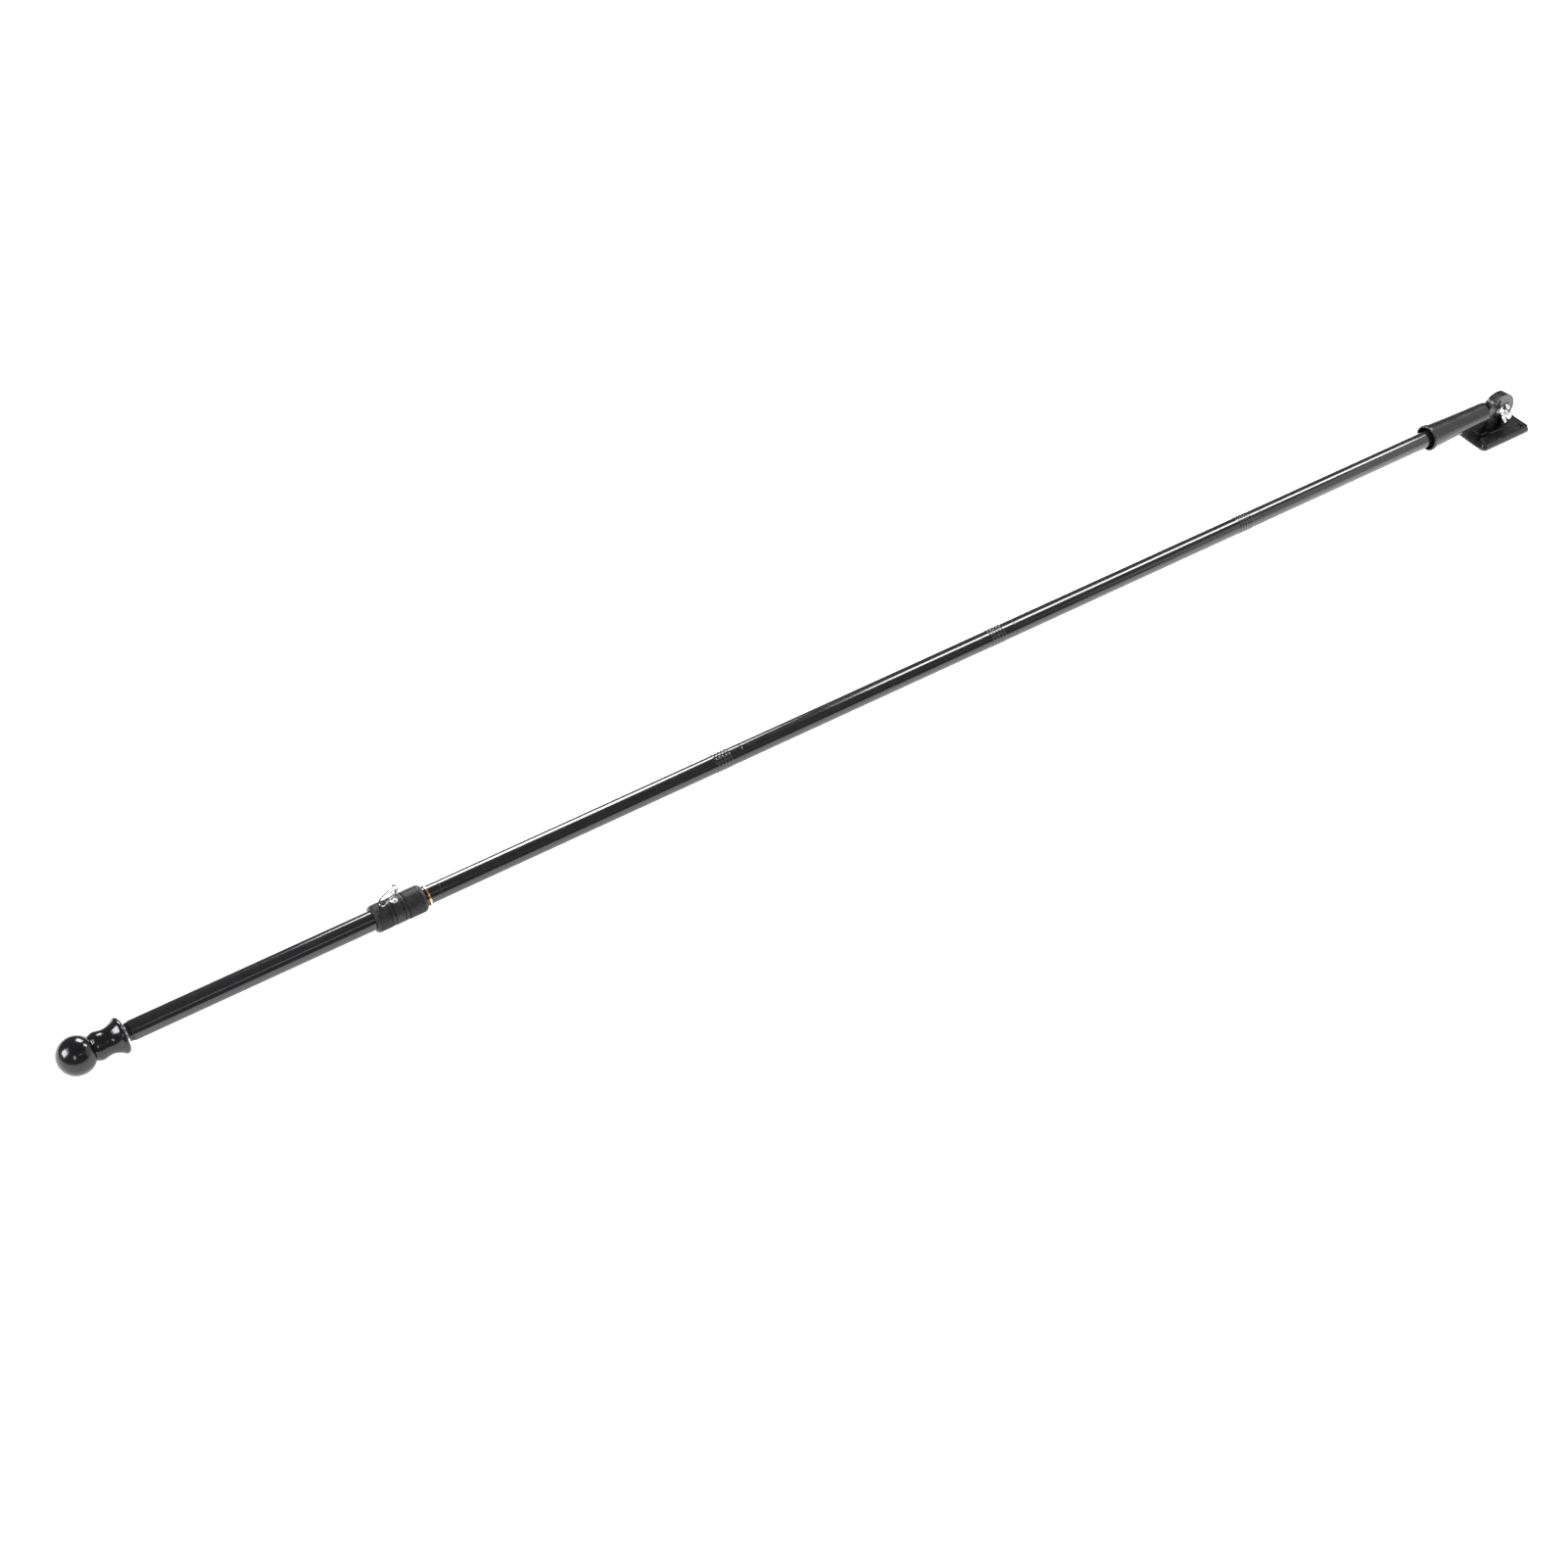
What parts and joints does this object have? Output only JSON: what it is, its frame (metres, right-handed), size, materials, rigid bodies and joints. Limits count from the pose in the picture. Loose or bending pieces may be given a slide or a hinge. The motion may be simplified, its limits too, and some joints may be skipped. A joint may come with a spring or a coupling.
{
  "type": "flagpole with wall bracket",
  "caption": "Sectional tubular flagpole with a ball finial, a spinning top section, a loose flag ring with a snap hook, and a folding serrated wall bracket.",
  "frame": {"origin": "centre of the bracket plate's back face", "axes": "+Z out of the wall face of the plate, pole folded beside the plate towards -X, wing nut on the -Y side"},
  "size_m": [1.8926, 0.0596, 0.067],
  "materials": {
    "black_tube": "satin black",
    "black_casting": "gloss black powder coat",
    "black_plastic": "gloss black moulding",
    "bright_steel": "bright plated steel",
    "aluminium": "turned aluminium",
    "brass": "turned brass"
  },
  "bodies": {
    "bracket": {"base_casting": "black_casting", "pivot_bolt": "bright_steel", "clamp_washer": "bright_steel", "wing_nut": "bright_steel"},
    "pole": {"socket": "black_casting", "pole_section_1": "black_tube", "pole_section_2": "black_tube", "pole_section_3": "black_tube", "pole_section_4": "black_tube", "coupler_1": "aluminium", "coupler_2": "aluminium", "coupler_3": "aluminium", "swivel_base": "black_tube", "spindle": "aluminium", "brass_ring": "brass", "finial_washer": "bright_steel", "finial_neck": "black_plastic", "finial_ball": "black_plastic"},
    "top_section": {"top_tube": "black_tube", "top_bush": "black_plastic", "collar_sleeve": "black_plastic", "collar_nut_bottom": "black_plastic", "collar_nut_top": "black_plastic"},
    "ring": {"flag_ring": "black_plastic", "ring_eye": "bright_steel"},
    "hook": {"snap_hook": "bright_steel"}
  },
  "joints": [
    {"name": "bracket_tilt", "type": "hinge", "parent": "bracket", "child": "pole", "pos_m": [0.004, 0, 0.0302], "axis": [0, 1, 0], "range_deg": [0, 180]},
    {"name": "top_spin", "type": "hinge", "parent": "pole", "child": "top_section", "pos_m": [-1.6, 0, 0.03225], "axis": [-1, 0, 0], "continuous": true},
    {"name": "ring_spin", "type": "hinge", "parent": "top_section", "child": "ring", "pos_m": [-1.4994, 0, 0.03225], "axis": [-1, 0, 0], "continuous": true},
    {"name": "hook_swing", "type": "hinge", "parent": "ring", "child": "hook", "pos_m": [-1.4965, 0, 0.05995], "axis": [0, 1, 0], "range_deg": [0, 113]}
  ]
}
